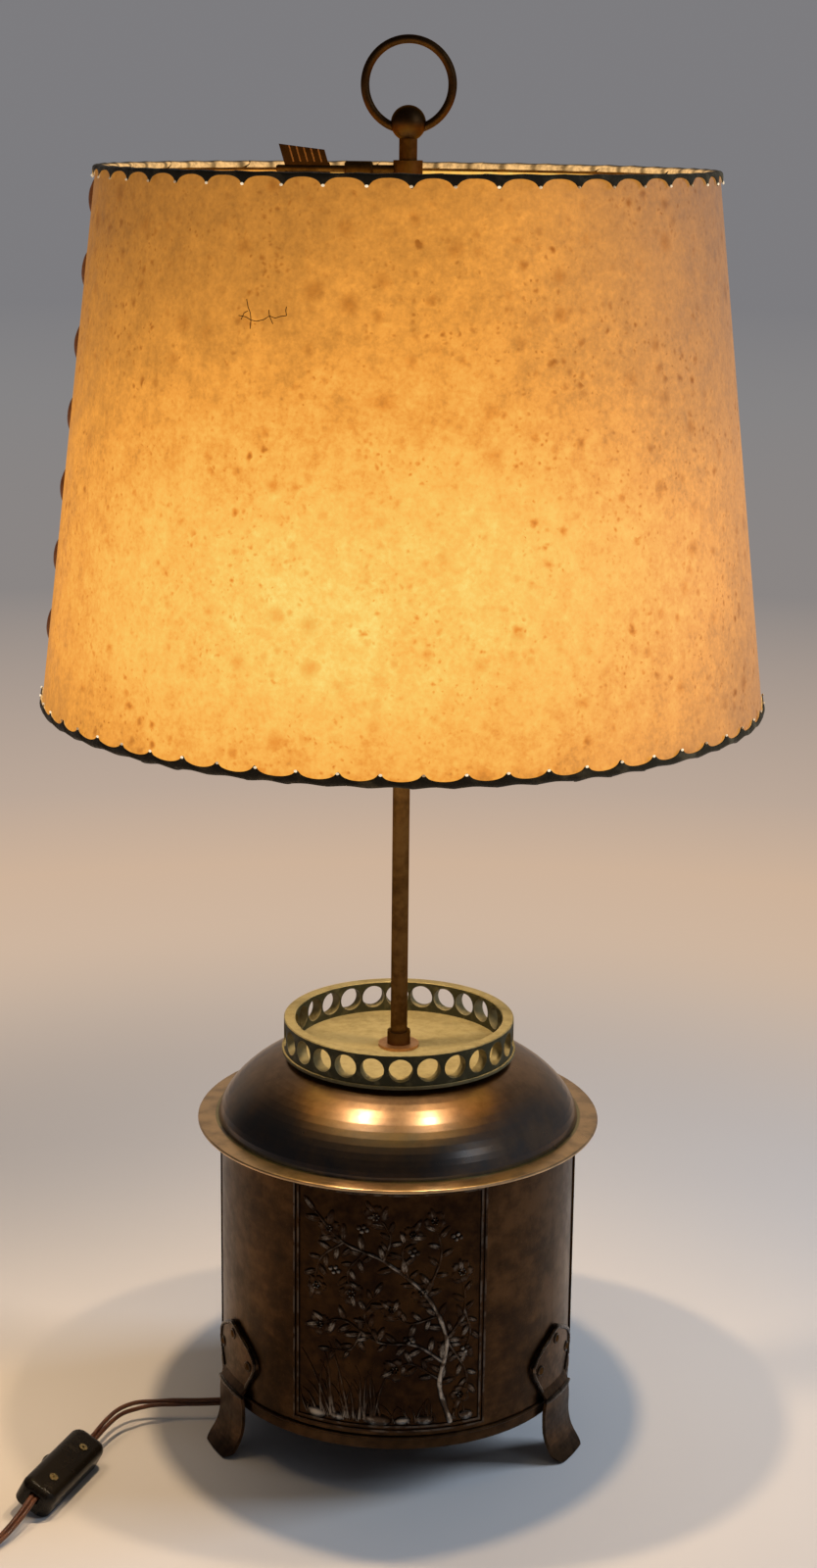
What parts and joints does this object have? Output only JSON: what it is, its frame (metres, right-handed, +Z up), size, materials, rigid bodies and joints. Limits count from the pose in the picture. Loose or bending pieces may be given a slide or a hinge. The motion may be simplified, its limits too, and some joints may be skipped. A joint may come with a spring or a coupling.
{
  "type": "table lamp",
  "caption": "Table lamp with a footed metal canister base, pierced tray gallery, brass rod, laced parchment shade on a sliding collar with an arrow key, ring finial and corded switch.",
  "frame": {"origin": "on the table, under the rod's axis, at the middle of the lamp's footprint", "axes": "+Z up along the rod, -Y towards the front panel, +X to the right as seen from the front"},
  "size_m": [0.5631, 0.4498, 0.8488],
  "materials": {
    "dark_copper": "dark brown patinated sheet copper, satin",
    "lid_copper": "brown patinated copper, polished on the raised places",
    "gallery_brass": "yellow brass with dark green-black tarnish",
    "old_brass": "aged brown brass, satin",
    "steel": "plain turned steel",
    "fitting_brass": "plain brass fittings",
    "porcelain": "glazed white porcelain",
    "bulb_base_metal": "rolled aluminium screw base",
    "bulb_glass": "frosted glass",
    "parchment": "translucent mottled parchment",
    "lace_leather": "dark green-black leather thong",
    "bakelite": "worn black moulded plastic",
    "bushing_plastic": "black moulded bushing",
    "brown_cord": "brown flat twin flex"
  },
  "bodies": {
    "base": {"canister_wall": "dark_copper", "canister_floor": "dark_copper", "base_hoop": "dark_copper", "panel_front": "dark_copper", "panel_right": "dark_copper", "panel_left": "dark_copper", "foot_left": "dark_copper", "foot_right": "dark_copper", "foot_back": "dark_copper", "lid": "lid_copper", "tray_washer": "lid_copper", "gallery_ring": "gallery_brass", "gallery_floor": "gallery_brass", "foot_rivets": "old_brass", "tray_clamp": "old_brass", "rod": "old_brass", "finial_ball": "old_brass", "finial_ring": "old_brass", "lock_nuts": "steel", "lock_washers": "steel", "switch_spindle": "steel", "cluster_body": "fitting_brass", "socket_caps": "fitting_brass", "socket_shells": "fitting_brass", "switch_rivets": "fitting_brass", "switch_contacts": "fitting_brass", "plug_blades": "fitting_brass", "socket_cores": "porcelain", "bulb_bases": "bulb_base_metal", "bulb_left": "bulb_glass", "bulb_right": "bulb_glass", "switch_base": "bakelite", "switch_cover": "bakelite", "plug_body": "bakelite", "pipe_bushing": "bushing_plastic", "inner_lead": "brown_cord", "socket_leads": "brown_cord", "cord_lead": "brown_cord", "cord_tail": "brown_cord", "cord_coil": "brown_cord", "cord_end": "brown_cord"},
    "slide_collar": {"slide_collar": "old_brass"},
    "shade": {"spider_hub": "old_brass", "spider": "old_brass", "top_wire": "old_brass", "bottom_wire": "old_brass", "shade_parchment": "parchment", "top_lacing": "lace_leather", "bottom_lacing": "lace_leather", "side_lacing": "lace_leather"},
    "arrow_key": {"key_screw": "old_brass", "key_vanes": "old_brass"},
    "switch_wheel": {"switch_wheel": "bakelite"}
  },
  "joints": [
    {"name": "shade_slide", "type": "slide", "parent": "base", "child": "slide_collar", "axis": [0, 0, 1], "range_m": [-0.08, 0.009]},
    {"name": "shade_swivel", "type": "hinge", "parent": "slide_collar", "child": "shade", "pos_m": [0, 0, 0.742], "axis": [0, 0, 1], "continuous": true},
    {"name": "arrow_key_turn", "type": "hinge", "parent": "slide_collar", "child": "arrow_key", "pos_m": [-0.02, 0, 0.775], "axis": [-1, 0, 0], "range_deg": [-180, 180]},
    {"name": "switch_wheel_turn", "type": "hinge", "parent": "base", "child": "switch_wheel", "pos_m": [-0.19835, -0.11237, 0.01285], "axis": [0.4465, -0.1451, 0.8829], "continuous": true}
  ]
}
